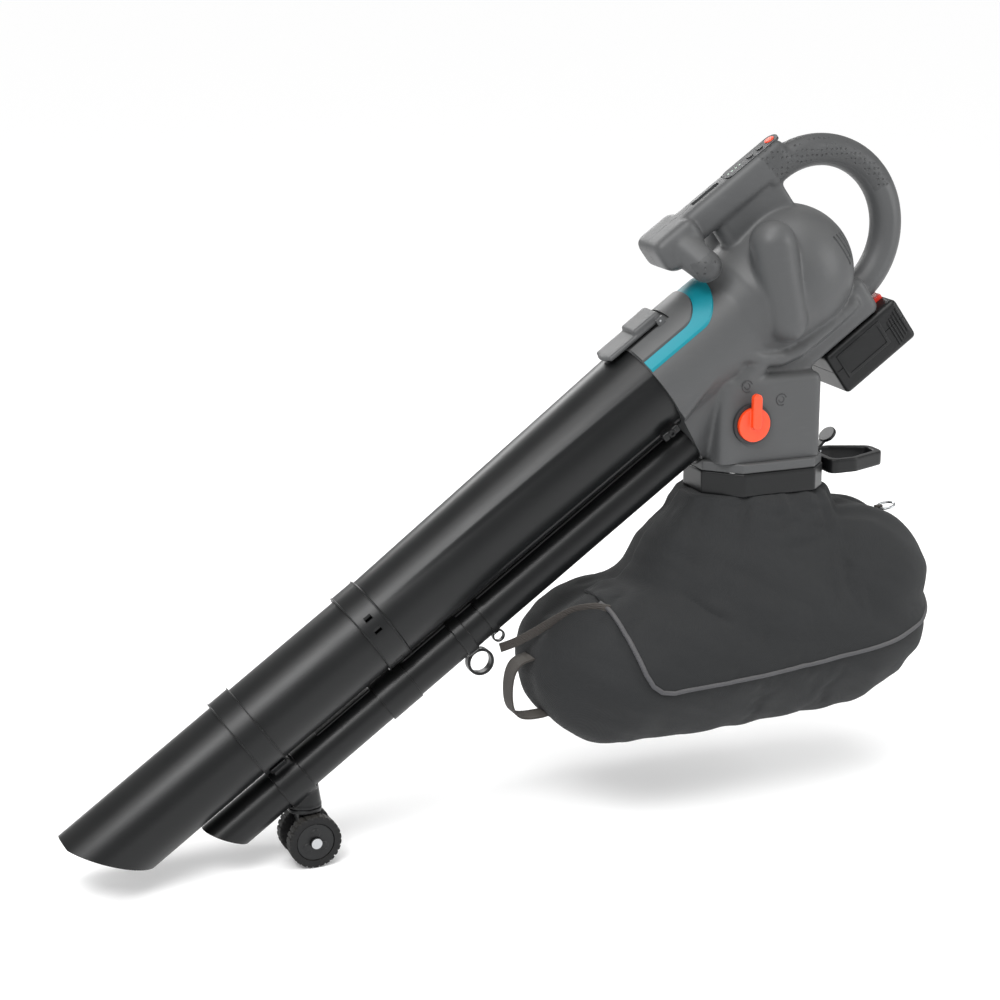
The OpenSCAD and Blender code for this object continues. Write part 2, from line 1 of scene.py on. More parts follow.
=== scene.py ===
# %% [markdown]
# # A leaf vacuum mulcher
# The machine is a grey motor head with a loop handle, two black tubes on a small castor, a
# slide-on battery and a cloth debris bag that hangs from a port. The hard parts come from a
# measured frame. This lesson gives them their finishes and remodels the parts whose softness
# matters most: the moulded head, the handle, the wheels and the bag.

import json
import math

import bpy
import bmesh
from mathutils import Matrix, Vector, noise
from mathutils.bvhtree import BVHTree


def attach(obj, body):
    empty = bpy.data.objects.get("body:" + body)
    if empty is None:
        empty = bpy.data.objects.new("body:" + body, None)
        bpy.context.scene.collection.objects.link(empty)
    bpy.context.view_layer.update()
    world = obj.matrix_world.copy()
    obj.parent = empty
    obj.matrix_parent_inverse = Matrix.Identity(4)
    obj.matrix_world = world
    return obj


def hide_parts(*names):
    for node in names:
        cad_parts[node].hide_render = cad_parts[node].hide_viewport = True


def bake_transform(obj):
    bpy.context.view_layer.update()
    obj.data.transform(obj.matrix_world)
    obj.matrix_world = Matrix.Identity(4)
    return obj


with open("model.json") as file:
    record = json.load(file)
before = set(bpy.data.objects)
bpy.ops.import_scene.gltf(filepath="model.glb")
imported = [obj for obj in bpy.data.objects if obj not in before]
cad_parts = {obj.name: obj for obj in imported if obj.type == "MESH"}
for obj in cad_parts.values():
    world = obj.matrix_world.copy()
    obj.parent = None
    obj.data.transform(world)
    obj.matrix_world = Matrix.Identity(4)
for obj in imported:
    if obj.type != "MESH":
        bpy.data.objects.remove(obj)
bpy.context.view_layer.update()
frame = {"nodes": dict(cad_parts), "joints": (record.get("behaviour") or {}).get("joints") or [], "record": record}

# %% [markdown]
# ## Where the tool's own axes lie
# The tubes slope at a working angle, so most shapes are easier to draw along the tubes and
# then to lay into the sloping place. The spin axis of the fan gives that slope.

# %% The tool's axes
spin = next(j for j in frame["joints"] if j["name"] == "rotor_spin")
ALONG = Vector(spin["axis"]).normalized()
UP = Vector((-ALONG.z, 0, ALONG.x))
MM = 0.001
corner = Vector(spin["pos_m"]) - ALONG * 0.930 - UP * 0.004
TOOL = Matrix.Translation(corner) @ Matrix(
    ((ALONG.x, 0, UP.x), (0, 1, 0), (ALONG.z, 0, UP.z))
).to_4x4()
print("slope in degrees", round(math.degrees(math.atan2(ALONG.z, ALONG.x)), 2))

# %% [markdown]
# ## Camera, floor and light
# A long lens from the right front keeps the tubes straight. The floor and the sky are pale,
# and large soft lamps make the long highlights that show how round each moulding is.

# %% Camera
lens = bpy.data.cameras.new("studio_camera")
lens.lens = 85
camera = bpy.data.objects.new("studio_camera", lens)
bpy.context.scene.collection.objects.link(camera)
camera.location = (-1.0376, -2.5142, 1.1582)
camera.rotation_mode = "QUATERNION"
camera.rotation_quaternion = Vector((0.3615, 0.8948, -0.2622)).to_track_quat("-Z", "Y")
bpy.context.scene.camera = camera
bpy.context.scene.view_settings.view_transform = "Standard"
print("camera at", tuple(round(v, 3) for v in camera.location))

# %% Floor, sky and lamps
def clear():
    if bpy.context.mode != "OBJECT":
        bpy.ops.object.mode_set(mode="OBJECT")
    bpy.ops.object.select_all(action="DESELECT")


clear()
bpy.ops.mesh.primitive_plane_add(size=90, location=(0, 0, -0.0005))
floor = bpy.context.object
floor.name = "studio_floor"
pale = bpy.data.materials.new("studio_pale")
pale.use_nodes = True
shading = pale.node_tree.nodes["Principled BSDF"].inputs
shading["Base Color"].default_value = (0.95, 0.95, 0.95, 1)
shading["Emission Color"].default_value, shading["Emission Strength"].default_value = (1, 1, 1, 1), 0.1
shading["Roughness"].default_value = 0.9
floor.data.materials.append(pale)

sky = bpy.data.worlds.new("studio_sky")
sky.use_nodes = True
sky.node_tree.nodes["Background"].inputs["Color"].default_value = (1, 1, 1, 1)
paths = sky.node_tree.nodes.new("ShaderNodeLightPath")
level_of = sky.node_tree.nodes.new("ShaderNodeMapRange")
level_of.inputs["To Min"].default_value, level_of.inputs["To Max"].default_value = 0.5, 1.0
sky.node_tree.links.new(paths.outputs["Is Camera Ray"], level_of.inputs["Value"])
sky.node_tree.links.new(level_of.outputs["Result"], sky.node_tree.nodes["Background"].inputs["Strength"])
bpy.context.scene.world = sky


def lamp(name, place, aim, size, power):
    data = bpy.data.lights.new(name, "AREA")
    data.shape, data.size, data.size_y, data.energy = "RECTANGLE", size[0], size[1], power
    one = bpy.data.objects.new(name, data)
    bpy.context.scene.collection.objects.link(one)
    one.location = place
    one.rotation_mode = "QUATERNION"
    one.rotation_quaternion = (Vector(aim) - Vector(place)).to_track_quat("-Z", "Y")


high_sun = bpy.data.lights.new("high_sun", "SUN")
high_sun.energy, high_sun.angle = 1.7, 0.9
overhead = bpy.data.objects.new("high_sun", high_sun)
bpy.context.scene.collection.objects.link(overhead)
overhead.rotation_euler = (math.radians(24), math.radians(-22), 0)
lamp("key_lamp", (-1.5, -1.5, 2.3), (0, 0, 0.4), (1.2, 0.9), 34)
lamp("side_lamp", (2.1, -1.3, 1.2), (0.2, 0, 0.4), (0.5, 1.5), 20)
lamp("back_lamp", (0.2, 2.2, 1.5), (0, 0, 0.4), (1.8, 0.7), 22)
lamp("top_lamp", (0.1, -0.3, 2.7), (0, 0, 0.3), (1.6, 0.4), 12)

# %% [markdown]
# ## Finishes shared by many parts
# Moulded plastic is never quite even: it has a fine spark-eroded grain, a little dust on its
# upper faces and faint rubs. Each of these is one node group with its own inputs, built once
# and placed in every material at that material's own strength.

# %% Helpers for node groups
def effect(name, ins, outs):
    tree = bpy.data.node_groups.new(name, "ShaderNodeTree")
    for socket, value in ins.items():
        one = tree.interface.new_socket(name=socket, in_out="INPUT", socket_type="NodeSocketFloat")
        one.default_value = value
    for socket in outs:
        tree.interface.new_socket(name=socket, in_out="OUTPUT", socket_type="NodeSocketFloat")
    give = tree.nodes.new("NodeGroupInput")
    take = tree.nodes.new("NodeGroupOutput")
    return tree, give.outputs, take.inputs


def put(tree, kind, links=None, **settings):
    node = tree.nodes.new(kind)
    for key, value in settings.items():
        setattr(node, key, value)
    for key, source in (links or {}).items():
        socket = node.inputs[key]
        if hasattr(source, "is_output"):
            tree.links.new(source, socket)
        else:
            socket.default_value = source
    return node


def sums(tree, how, a, b=0.0, c=0.0):
    return put(tree, "ShaderNodeMath", {0: a, 1: b, 2: c}, operation=how).outputs[0]


def place_of(tree):
    return put(tree, "ShaderNodeTexCoord").outputs["Object"]


# %% Grain, dust and rubs
grain, give, take = effect("moulded_grain", {"Scale": 900.0, "Cloud": 9.0}, ["Height", "Cloud"])
where = place_of(grain)
fine = put(grain, "ShaderNodeTexNoise", {"Vector": where, "Scale": give["Scale"], "Detail": 2.0})
cloud = put(grain, "ShaderNodeTexNoise", {"Vector": where, "Scale": give["Cloud"], "Detail": 4.0})
grain.links.new(fine.outputs["Fac"], take["Height"])
grain.links.new(cloud.outputs["Fac"], take["Cloud"])

dust, give, take = effect("settled_dust", {"Amount": 0.3}, ["Mask"])
facing = put(dust, "ShaderNodeSeparateXYZ", {0: put(dust, "ShaderNodeNewGeometry").outputs["Normal"]})
patch = put(dust, "ShaderNodeTexNoise", {"Vector": place_of(dust), "Scale": 38.0, "Detail": 6.0})
upward = sums(dust, "MAXIMUM", facing.outputs["Z"], 0.0)
dusty = sums(dust, "MULTIPLY", sums(dust, "MULTIPLY", upward, patch.outputs["Fac"]), give["Amount"])
dust.links.new(dusty, take["Mask"])

rubs, give, take = effect("handling_rubs", {"Scale": 30.0, "Amount": 0.3}, ["Mask"])
stretched = {"Vector": place_of(rubs), "Scale": (1.0, 3.0, 5.0), "Rotation": (0.0, 0.62, 0.0)}
shift = put(rubs, "ShaderNodeMapping", stretched)
streaky = {"Vector": shift.outputs[0], "Scale": give["Scale"], "Detail": 8.0, "Roughness": 0.7}
streak = put(rubs, "ShaderNodeTexNoise", streaky)
high = put(rubs, "ShaderNodeMapRange", {"Value": streak.outputs["Fac"], "From Min": 0.55, "From Max": 0.75})
rubs.links.new(sums(rubs, "MULTIPLY", high.outputs[0], give["Amount"]), take["Mask"])
print("groups", [g.name for g in bpy.data.node_groups])

# %% Dimples and weave
dimples, give, take = effect("grip_dimples", {"Scale": 190.0, "Size": 0.22}, ["Height"])
spread_out = {"Vector": place_of(dimples), "Scale": give["Scale"], "Randomness": 0.25}
cells = put(dimples, "ShaderNodeTexVoronoi", spread_out)
round_hollow = {"Value": cells.outputs["Distance"], "From Min": 0.0, "From Max": give["Size"]}
dot = put(dimples, "ShaderNodeMapRange", round_hollow, interpolation_type="SMOOTHSTEP")
dimples.links.new(dot.outputs[0], take["Height"])

weave, give, take = effect("plain_weave", {"Scale": 700.0}, ["Height"])
sides = put(weave, "ShaderNodeSeparateXYZ", {0: place_of(weave)})
flat_run = sums(weave, "ADD", sides.outputs["X"], sides.outputs["Y"])
lying = sums(weave, "SINE", sums(weave, "MULTIPLY", flat_run, give["Scale"]))
upright = sums(weave, "SINE", sums(weave, "MULTIPLY", sides.outputs["Z"], give["Scale"]))
cross = sums(weave, "MULTIPLY", lying, upright)
weave.links.new(sums(weave, "MULTIPLY_ADD", cross, 0.5, 0.5), take["Height"])
print("groups", len(bpy.data.node_groups))

# %% [markdown]
# ## Plastics, metals, rubber and cloth
# One function mixes the shared effects into a Principled shader. What is the same all over a
# surface, such as a coat or a sheen, is set straight on the shader.

# %% The finish mixer
def linear(c):
    return c / 12.92 if c <= 0.04045 else ((c + 0.055) / 1.055) ** 2.4


def srgb(r, g, b):
    return tuple(linear(c / 255) for c in (r, g, b)) + (1.0,)


def use(tree, group, **values):
    node = tree.nodes.new("ShaderNodeGroup")
    node.node_tree = group
    for key, value in values.items():
        node.inputs[key].default_value = value
    return node.outputs


def blend_colour(tree, mask, a, b):
    node = put(tree, "ShaderNodeMix", {"Factor": mask}, data_type="RGBA")
    for socket, source in ((6, a), (7, b)):
        if hasattr(source, "is_output"):
            tree.links.new(source, node.inputs[socket])
        else:
            node.inputs[socket].default_value = source
    return node.outputs[2]


def finish(name, colour, rough, grit=900.0, depth=0.04, dusting=0.25, rubbing=0.25, metal=0.0,
           coat=0.0, relief=None, vary=0.12, sheen=0.0, shine=0.5):
    made = bpy.data.materials.new(name)
    made.use_nodes = True
    tree = made.node_tree
    shader = tree.nodes["Principled BSDF"]
    fine = use(tree, grain, Scale=grit)
    base = srgb(*colour)
    dark = tuple(c * (1 - vary) for c in base[:3]) + (1,)
    light = tuple(min(1, c * (1 + vary)) for c in base[:3]) + (1,)
    body = blend_colour(tree, fine["Cloud"], dark, light)
    worn = use(tree, rubs, Amount=rubbing)["Mask"]
    pale_base = tuple(min(1, c * 1.6 + 0.02) for c in base[:3]) + (1,)
    body = blend_colour(tree, worn, body, pale_base)
    body = blend_colour(tree, use(tree, dust, Amount=dusting)["Mask"], body, srgb(150, 146, 138))
    height = fine["Height"]
    if relief is not None:
        group, strength, values = relief
        extra = use(tree, group, **values)
        height = sums(tree, "MULTIPLY_ADD", extra["Height"], strength, height)
    tree.links.new(body, shader.inputs["Base Color"])
    uneven = sums(tree, "MULTIPLY_ADD", worn, 0.2, rough - 0.08)
    uneven = sums(tree, "MULTIPLY_ADD", fine["Cloud"], 0.16, uneven)
    tree.links.new(uneven, shader.inputs["Roughness"])
    bump = put(tree, "ShaderNodeBump", {"Height": height, "Strength": min(1.0, depth * 5), "Distance": 0.0003})
    tree.links.new(bump.outputs[0], shader.inputs["Normal"])
    shader.inputs["Metallic"].default_value = metal
    shader.inputs["Coat Weight"].default_value = coat
    shader.inputs["Coat Roughness"].default_value = 0.25
    shader.inputs["Sheen Weight"].default_value = sheen
    shader.inputs["Specular IOR Level"].default_value = shine
    return made


# %% The list of finishes
GRIP_DOTS = (dimples, 6.0, {"Scale": 150.0, "Size": 0.3})
COATED = {"grit": 420, "depth": 0.12, "dusting": 0.02, "rubbing": 0.05, "sheen": 0.04, "shine": 0.15,
          "relief": (weave, 1.6, {"Scale": 3200.0})}
FINISH = {
    "housing_grey": finish("housing_grey", (71, 72, 73), 0.46, shine=0.4, depth=0.04, dusting=0.08, rubbing=0.1),
    "grip_grey": finish("grip_grey", (62, 63, 64), 0.5, shine=0.4, depth=0.2, dusting=0.05, relief=GRIP_DOTS),
    "panel_dark": finish("panel_dark", (44, 45, 47), 0.5, depth=0.02, dusting=0.04),
    "status_lens": finish("status_lens", (190, 215, 196), 0.25, depth=0.01, dusting=0.05),
    "turquoise_trim": finish("turquoise_trim", (0, 124, 138), 0.45, dusting=0.02, rubbing=0.03,
                             vary=0.05, shine=0.3),
    "tube_black": finish("tube_black", (17, 18, 19), 0.33, depth=0.03, dusting=0.02, rubbing=0.05, shine=0.3),
    "steel": finish("steel", (176, 178, 180), 0.28, metal=1.0, dusting=0.05, rubbing=0.2),
    "wheel_rubber": finish("wheel_rubber", (15, 15, 16), 0.55, shine=0.3, grit=600, depth=0.09, dusting=0.15),
    "motor_aluminium": finish("motor_aluminium", (150, 153, 156), 0.35, metal=0.9, dusting=0.05),
    "copper_winding": finish("copper_winding", (176, 104, 52), 0.3, metal=1.0, grit=260, depth=0.2),
    "inner_plastic": finish("inner_plastic", (88, 90, 92), 0.5),
    "board_green": finish("board_green", (24, 92, 56), 0.4, grit=300, depth=0.1),
    "signal_orange": finish("signal_orange", (232, 66, 16), 0.36, dusting=0.04, rubbing=0.08, vary=0.06, coat=0.3),
    "button_black": finish("button_black", (20, 21, 22), 0.4, shine=0.35, dusting=0.05),
    "battery_black": finish("battery_black", (16, 17, 18), 0.4, dusting=0.02, shine=0.3),
    "cell_sleeve": finish("cell_sleeve", (62, 108, 172), 0.35),
    "release_red": finish("release_red", (206, 48, 34), 0.4, dusting=0.04),
    "bag_fabric": finish("bag_fabric", (41, 42, 43), 0.8, **COATED),
    "flap_fabric": finish("flap_fabric", (40, 41, 42), 0.78, **COATED),
    "webbing": finish("webbing", (58, 54, 51), 0.8, grit=500, depth=0.25, relief=(weave, 2.0, {"Scale": 2200.0})),
    "piping": finish("piping", (70, 70, 73), 0.7, grit=500, depth=0.2, relief=(weave, 2.0, {"Scale": 2600.0})),
}
print("finishes", len(FINISH))

# %% [markdown]
# ## Dressing the measured parts
# Every measured part takes the finish that the record names for it. Parts that are remodelled
# further down hide the measured one.

# %% Dress the measured parts
slot_of = {row["node"]: row["material_slot"] for row in frame["record"]["subparts"]}
for node, shown in frame["nodes"].items():
    name = slot_of.get(node, "inner_plastic")
    shown.data.materials.clear()
    shown.data.materials.append(FINISH[name])
print("dressed", len(frame["nodes"]))

# %% [markdown]
# ## The maker's tools
# Shapes start as primitives at their size and place, in millimetres along the tool. They are
# joined, and a fine voxel remesh melts them into one skin, as plastic flows in a mould. A
# smoothing pass then rounds the inner corners. Boolean cuts come last, so they stay crisp.

# %% Primitives
def take_up(name="shape"):
    made = bpy.context.object
    made.name = name
    bpy.ops.object.transform_apply(location=True, rotation=True, scale=True)
    return made


def rod(a, b, r, r2=None, sides=72):
    clear()
    a, b = Vector(a) * MM, Vector(b) * MM
    turn = (b - a).to_track_quat("Z", "Y").to_euler()
    far_end = r if r2 is None else r2
    bpy.ops.mesh.primitive_cone_add(vertices=sides, radius1=r * MM, radius2=far_end * MM,
                                    depth=(b - a).length, location=(a + b) / 2, rotation=turn)
    return take_up("rod")


def ball(c, r, stretch=(1, 1, 1)):
    clear()
    bpy.ops.mesh.primitive_uv_sphere_add(segments=56, ring_count=28, radius=r * MM,
                                         location=Vector(c) * MM, scale=stretch)
    return take_up("ball")


def slab(x, y, z, soft=0.0):
    clear()
    size = Vector((x[1] - x[0], y[1] - y[0], z[1] - z[0])) * MM
    middle = Vector((x[0] + x[1], y[0] + y[1], z[0] + z[1])) * MM / 2
    bpy.ops.mesh.primitive_cube_add(size=1, location=middle, scale=size)
    made = take_up("slab")
    if soft:
        bevel = made.modifiers.new("soft", "BEVEL")
        bevel.width, bevel.segments = soft * MM, 4
        bpy.ops.object.modifier_apply(modifier="soft")
    return made


def hose(points, r, name="hose", closed=False):
    line = bpy.data.curves.new(name, "CURVE")
    line.dimensions, line.use_fill_caps = "3D", True
    line.bevel_depth, line.bevel_resolution = r * MM, 5
    run = line.splines.new("POLY")
    run.points.add(len(points) - 1)
    run.use_cyclic_u = closed
    for spot, p in zip(run.points, points):
        spot.co = (p[0] * MM, p[1] * MM, p[2] * MM, 1)
    made = bpy.data.objects.new(name, line)
    bpy.context.scene.collection.objects.link(made)
    clear()
    made.select_set(True)
    bpy.context.view_layer.objects.active = made
    bpy.ops.object.convert(target="MESH")
    made = bpy.context.object
    merge(made)
    return made


def merge(made, gap=0.00002):
    clear()
    made.select_set(True)
    bpy.context.view_layer.objects.active = made
    bpy.ops.object.mode_set(mode="EDIT")
    bpy.ops.mesh.select_all(action="SELECT")
    bpy.ops.mesh.remove_doubles(threshold=gap)
    bpy.ops.mesh.normals_make_consistent(inside=False)
    bpy.ops.object.mode_set(mode="OBJECT")


# %% Joining, melting and cutting
def join(parts, name):
    clear()
    for one in parts:
        one.select_set(True)
    bpy.context.view_layer.objects.active = parts[0]
    bpy.ops.object.join()
    made = bpy.context.object
    made.name = name
    return made


def apply(made, kind, **settings):
    clear()
    made.select_set(True)
    bpy.context.view_layer.objects.active = made
    step = made.modifiers.new("step", kind)
    for key, value in settings.items():
        setattr(step, key, value)
    bpy.ops.object.modifier_apply(modifier=step.name)


def melt(parts, name, voxel, rounds):
    made = join(parts, name) if len(parts) > 1 else parts[0]
    made.name = name
    apply(made, "REMESH", mode="VOXEL", voxel_size=voxel * MM)
    if rounds:
        apply(made, "SMOOTH", factor=0.5, iterations=rounds)
    return made


def cut(made, tool, how="DIFFERENCE"):
    apply(made, "BOOLEAN", operation=how, object=tool, solver="MANIFOLD")
    bpy.data.objects.remove(tool)


def lay(made):
    made.data.transform(TOOL)
    made.data.update()


def copy_of(made, name):
    other = made.copy()
    other.data = made.data.copy()
    other.name = name
    bpy.context.scene.collection.objects.link(other)
    return other


def unhook(made):
    made.parent = None
    for key in [k for k in made.keys() if k.startswith("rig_")]:
        del made[key]


def done(made, name, slot, body, replaces=(), finish_name=None, crease=40):
    made.name = name
    made.data.name = name
    made.data.materials.clear()
    made.data.materials.append(FINISH[finish_name or slot])
    clear()
    made.select_set(True)
    bpy.context.view_layer.objects.active = made
    bpy.ops.object.shade_smooth_by_angle(angle=math.radians(crease))
    if body:
        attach(made, body)
    if replaces:
        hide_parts(*replaces)
    print(name, len(made.data.polygons), "faces")
    return made


def softened(node, name, slot, body, voxel=1.0, rounds=3, finish_name=None):
    made = copy_of(frame["nodes"][node], name)
    unhook(made)
    made.matrix_world = Matrix.Identity(4)
    made.modifiers.clear()
    merge(made)
    melt([made], name, voxel, rounds)
    return done(made, name, slot, body, [node], finish_name, crease=50)


ROOT = next(iter(frame["record"]["behaviour"]["bodies"]))

# %% [markdown]
# ## The moulded head
# The head is one grey moulding in two halves: a barrel for the fan, a dome for the motor, a
# lobe on each side, a square neck down to the bag port, and the handles. Melting primitives
# gives the soft hollows where these meet, which is what a real mould has.

# %% Head: the outer skin
def loop_points(a0, a1, n, R=98.0, centre=(1157, 20)):
    return [(centre[0] + R * math.cos(math.radians(a)), 0, centre[1] + R * math.sin(math.radians(a)))
            for a in [a0 + (a1 - a0) * i / n for i in range(n + 1)]]


def level(made):
    made.data.transform(TOOL.inverted())
    return made


skin = [
    rod((858, 0, 4), (1006, 0, 4), 63.9), rod((1004, 0, 4), (1032, 0, 4), 63.9, 74), ball((1098, 0, 4), 82),
    rod((1030, 0, 4), (1076, 0, 4), 74, 80),
    rod((858, 0, -84), (952, 0, -84), 30),
    slab((965, 1163), (-38, 38), (-103, -51), 9),
    hose(loop_points(-100, 103, 40), 20),
    slab((1000, 1176), (-20, 20), (110, 150), 11),
    slab((1058, 1148), (-15, 15), (56, 122)), rod((1062, 0, 56), (1062, 0, 124), 15.5),
    slab((965, 1026), (-33, 33), (109, 151), 11),
]
for side in (-1, 1):
    skin += [
        rod((998, side * 16, 128), (1002, side * 43, 97), 21.5, 19.3), ball((1002, side * 43.3, 96.5), 19.6),
        ball((1080, side * 63, 72), 28.5), rod((1080, side * 63, 72), (1043.7, side * 62.5, -18), 28.5, 25.5),
        ball((1043.7, side * 62.5, -18), 25.5),
        hose([(866, side * 50, -27), (906, side * 51, -17), (943, side * 51, -11), (967, side * 51, -13),
              (984, side * 49, -24), (996, side * 46, -42), (1019, side * 42, -60), (1046, side * 40, -68),
              (1095, side * 38, -70), (1140, side * 32, -72)], 11),
    ]
neck = slab((858, 952), (-58, 58), (-92, -12))
clear()
neck.select_set(True)
bpy.context.view_layer.objects.active = neck
bpy.ops.object.mode_set(mode="EDIT")
mesh = bmesh.from_edit_mesh(neck.data)
for vert in mesh.verts:
    vert.select = vert.co.z < -0.09
mesh.select_flush_mode()
bmesh.update_edit_mesh(neck.data)
bpy.ops.transform.resize(value=(1, 0.5, 1))
bpy.ops.object.mode_set(mode="OBJECT")
skin.append(neck)
skin.append(level(slab((243, 382), (-54, 54), (440, 556), 10)))
for side in (-1, 1):
    skin.append(level(hose([(262, side * 30, 440), (262, side * 31, 490), (266, side * 33, 530),
                            (280, side * 36, 556), (296, side * 36, 572)], 19)))
head = melt(skin, "head", 2.2, 14)
print("head faces", len(head.data.polygons))

# %% Head: hollows, slots and the seam between its halves
cut(head, slab((700, 873), (-120, 120), (-200, 200)))
cut(head, level(slab((100, 500), (-120, 120), (300, 451.2))))
for shape in (
    rod((860, 0, 6), (904, 0, 6), 57.4), rod((903, 0, 4), (962, 0, 4), 60.2), rod((961, 0, 4), (1120, 0, 4), 50),
    rod((1119, 0, 4), (1150, 0, 4), 40), rod((860, 0, -84), (931, 0, -84), 22.2),
    level(slab((247, 378), (-50, 50), (430, 538), 6)),
    slab((1036, 1200), (-17.6, 17.6), (-110, -98)), slab((1036, 1200), (-22.6, 22.6), (-99, -94)),
    slab((1036, 1042), (-24, 24), (-100, -85)),
    slab((1042, 1084), (-4.2, 4.2), (143, 156), 2), slab((1093, 1178), (-12, 12), (146.5, 156), 5),
    level(rod((284, -80, 499.5), (284, -53.2, 499.5), 25.4)), level(rod((284, -56, 499.5), (284, 52.3, 499.5), 6)),
):
    cut(head, shape)
for x in (1135, 1151, 1167):
    cut(head, rod((x, 0, 136), (x, 0, 156), 5.6))
for side in (-1, 1):
    for i in range(4):
        x = 1150 + 6.5 * i
        out = math.sqrt(82 ** 2 - (x - 1098) ** 2) - 0.5
        sweep = [math.radians(a) for a in range(-20 + 3 * i, 21, 4)]
        arc = [(x, side * out * math.cos(a), 4 + out * math.sin(a)) for a in sweep]
        cut(head, hose(arc, 2.1))
half_left = copy_of(head, "half_left")
cut(half_left, slab((700, 1400), (0.18, 200), (-300, 300)), "INTERSECT")
cut(head, slab((700, 1400), (-200, -0.18), (-300, 300)), "INTERSECT")
for made, name, nodes in ((half_left, "moulded_half_left", ["housing_left", "side_cover_left"]),
                          (head, "moulded_half_right", ["housing_right", "side_cover_right"])):
    lay(made)
    done(made, name, "housing_grey", ROOT, nodes, crease=35)
    made.data.materials.append(FINISH["grip_grey"])
    back = TOOL.inverted()
    for face in made.data.polygons:
        spot = (back @ face.center) / MM
        turn = math.degrees(math.atan2(spot.z - 20, spot.x - 1157))
        reach = math.hypot(spot.x - 1157, spot.z - 20)
        gripped = -4 < turn < 98 and reach > 98 - 13
        padded_tip = spot.z < 112 and 985 < spot.x < 1026 and abs(spot.y) > 46 and 84 < spot.z
        face.material_index = 1 if gripped or padded_tip else 0

# %% [markdown]
# ## The debris bag
# The bag is coated cloth, round with air and leaves and gathered under a hard collar. Lobes
# are melted into its outline, then a short cloth simulation blows it up so that it sags and
# creases as cloth does. The gathers are drawn in afterwards, where the collar pinches it.

# %% Bag: rough form
bag = melt([
    ball((118, -24, 207), 97), ball((118, 24, 207), 97), ball((443, -20, 226), 96), ball((443, 20, 226), 96),
    ball((445, -26, 284), 89), ball((445, 26, 284), 89),
    rod((118, -24, 205), (443, -20, 222), 98, 98), rod((118, 24, 205), (443, 20, 222), 98, 98),
    rod((300, 0, 255), (318, 0, 409), 122, 70), rod((195, 0, 245), (287, 0, 409), 86, 60),
    rod((340, 0, 300), (345, 0, 409), 92, 66),
], "cloth_bag", 7.0, 14)
apply(bag, "REMESH", mode="VOXEL", voxel_size=0.006)
rest = [v.co.copy() for v in bag.data.vertices]
pin = bag.vertex_groups.new(name="held")
pin.add([i for i, c in enumerate(rest) if c.z > 0.398], 1.0, "REPLACE")
print("bag points", len(rest))

# %% Bag: let the cloth settle
cloth = bag.modifiers.new("air", "CLOTH")
cloth.settings.use_pressure = True
cloth.settings.uniform_pressure_force = 4
cloth.settings.effector_weights.gravity = 0.0
cloth.settings.vertex_group_mass = "held"
cloth.settings.shrink_min = -0.02
cloth.point_cache.frame_start, cloth.point_cache.frame_end = 1, 16
for moment in range(1, 17):
    bpy.context.scene.frame_set(moment)
clear()
bag.select_set(True)
bpy.context.view_layer.objects.active = bag
bpy.ops.object.modifier_apply(modifier="air")
bpy.context.scene.frame_set(1)
moved = 0.0
for v, was in zip(bag.data.vertices, rest):
    step = v.co - was
    if step.length > 0.014:
        v.co = was + step.normalized() * 0.014
    moved = max(moved, (v.co - was).length)
print("cloth moved at most", round(moved * 1000, 1), "mm")

# %% Bag: gathers and slack
apply(bag, "SUBSURF", levels=1, render_levels=1)
bag.data.update()
centre = Vector((0.322, 0, 0.41))
for v, out in zip(bag.data.vertices, [v.normal.copy() for v in bag.data.vertices]):
    near = max(0.0, 1 - abs(v.co.z - 0.385) / 0.07)
    turn = math.atan2(v.co.y, v.co.x - centre.x)
    pinch = noise.noise(Vector((turn * 5.2, v.co.z * 7, 0.4)))
    fold = pinch * 0.0055 * near
    slant = Vector((v.co.x * 6 + v.co.z * 5, v.co.y * 5, v.co.z * 13 + v.co.x * 4))
    slack = noise.fractal(slant + Vector((3, 1, 7)), 1.0, 2.0, 3) * 0.0052
    low = max(0.0, 1 - abs(v.co.z - 0.125) / 0.06)
    ripple = noise.noise(Vector((v.co.x * 26, v.co.y * 6, v.co.z * 8))) * 0.0042 * low
    v.co += out * (fold + slack + ripple)
    v.co.y = max(-0.1275, min(0.1275, v.co.y))
    v.co.z = min(v.co.z, 0.4095)
done(bag, "cloth_bag", "bag_fabric", "bag", ["bag_body"], crease=180)

# %% [markdown]
# ## The flap on the bag
# A second layer of cloth lies over the emptying mouth on the right side. It is a sheet that
# follows the bag, cut with round corners, and a grey piping runs round its edge.

# %% Flap: an outline, laid on the bag
FLAP = [(80, 326), (84, 312), (91, 293), (99, 270), (108, 245), (117, 222), (126, 207), (138, 198),
        (154, 195), (190, 198), (243, 202), (300, 206), (359, 211), (420, 218), (470, 226), (505, 235),
        (530, 246), (548, 262)]
SEWN = [(620, 300), (620, 440), (190, 440), (176, 372), (150, 352), (120, 340), (96, 336)]
SEAM_Y = 0.002
NEAR_SEAM, NEAR_EDGE = 0.004, 0.006
skin_tree = BVHTree.FromPolygons([v.co.copy() for v in bag.data.vertices],
                                 [tuple(p.vertices) for p in bag.data.polygons])
outline = [Vector((x, z)) * MM for x, z in FLAP + SEWN]


def on_bag(x, z, proud=0.002):
    hit, normal, _, _ = skin_tree.ray_cast(Vector((x, -0.4, z)), Vector((0, 1, 0)))
    if hit is None:
        hit, normal, _, _ = skin_tree.find_nearest(Vector((x, -0.06, z)))
    if normal.dot(hit - Vector((0.29, 0, 0.24))) < 0:
        normal = -normal
    return hit + normal * proud


def inside(p):
    hit = False
    for a, b in zip(outline, outline[1:] + outline[:1]):
        if (a.y > p.y) != (b.y > p.y) and p.x < (b.x - a.x) * (p.y - a.y) / (b.y - a.y) + a.x:
            hit = not hit
    return hit


